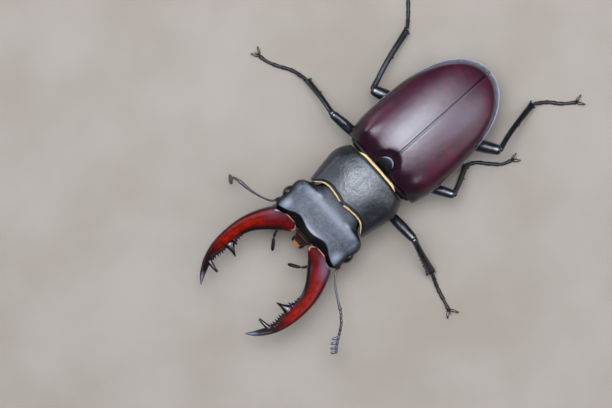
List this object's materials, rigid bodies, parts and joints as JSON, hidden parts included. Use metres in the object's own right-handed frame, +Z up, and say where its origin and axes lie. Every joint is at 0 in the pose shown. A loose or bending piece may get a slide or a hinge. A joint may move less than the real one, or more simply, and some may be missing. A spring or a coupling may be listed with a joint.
{
  "type": "stag beetle",
  "caption": "Life-size male stag beetle standing still, with open antler-like jaws, maroon wing cases and slender spined legs.",
  "frame": {"origin": "centre of the bounding box at the floor the feet stand on", "axes": "+Z up from the floor, the body's length along Y with the head and jaws towards -Y and the wing cases towards +Y, the animal's left side towards +X"},
  "size_m": [0.0662, 0.081, 0.0146],
  "materials": {
    "elytron": "semi-gloss dark maroon chitin",
    "shell": "finely granulated slate black chitin",
    "underside": "dark brown-black chitin with a soft shine",
    "mandible": "glossy deep red chitin, black along the teeth",
    "eye": "glossy brown-black",
    "limb": "glossy black chitin",
    "claw": "glossy dark brown",
    "hair": "golden orange bristles"
  },
  "bodies": {
    "root": {"prothorax": "shell", "scutellum": "shell", "metathorax": "underside", "abdomen": "underside", "head": "shell", "labrum": "shell", "mouth_brush": "hair", "elytron_left": "elytron", "eye_left": "eye", "mandible_left": "mandible", "antenna_left_scape": "limb", "antenna_left_funicle": "limb", "antenna_left_club": "limb", "elytron_right": "elytron", "eye_right": "eye", "mandible_right": "mandible", "antenna_right_scape": "limb", "antenna_right_funicle": "limb", "antenna_right_club": "limb", "maxillary_palp_left": "limb", "maxillary_palp_right": "limb", "labial_palp_left": "limb", "labial_palp_right": "limb", "foreleg_left_coxa": "limb", "foreleg_left_femur": "limb", "foreleg_left_tibia": "limb", "foreleg_left_tarsus": "limb", "foreleg_left_claws": "claw", "foreleg_right_coxa": "limb", "foreleg_right_femur": "limb", "foreleg_right_tibia": "limb", "foreleg_right_tarsus": "limb", "foreleg_right_claws": "claw", "midleg_left_coxa": "limb", "midleg_left_femur": "limb", "midleg_left_tibia": "limb", "midleg_left_tarsus": "limb", "midleg_left_claws": "claw", "midleg_right_coxa": "limb", "midleg_right_femur": "limb", "midleg_right_tibia": "limb", "midleg_right_tarsus": "limb", "midleg_right_claws": "claw", "hindleg_left_coxa": "limb", "hindleg_left_femur": "limb", "hindleg_left_tibia": "limb", "hindleg_left_tarsus": "limb", "hindleg_left_claws": "claw", "hindleg_right_coxa": "limb", "hindleg_right_femur": "limb", "hindleg_right_tibia": "limb", "hindleg_right_tarsus": "limb", "hindleg_right_claws": "claw"}
  },
  "joints": []
}
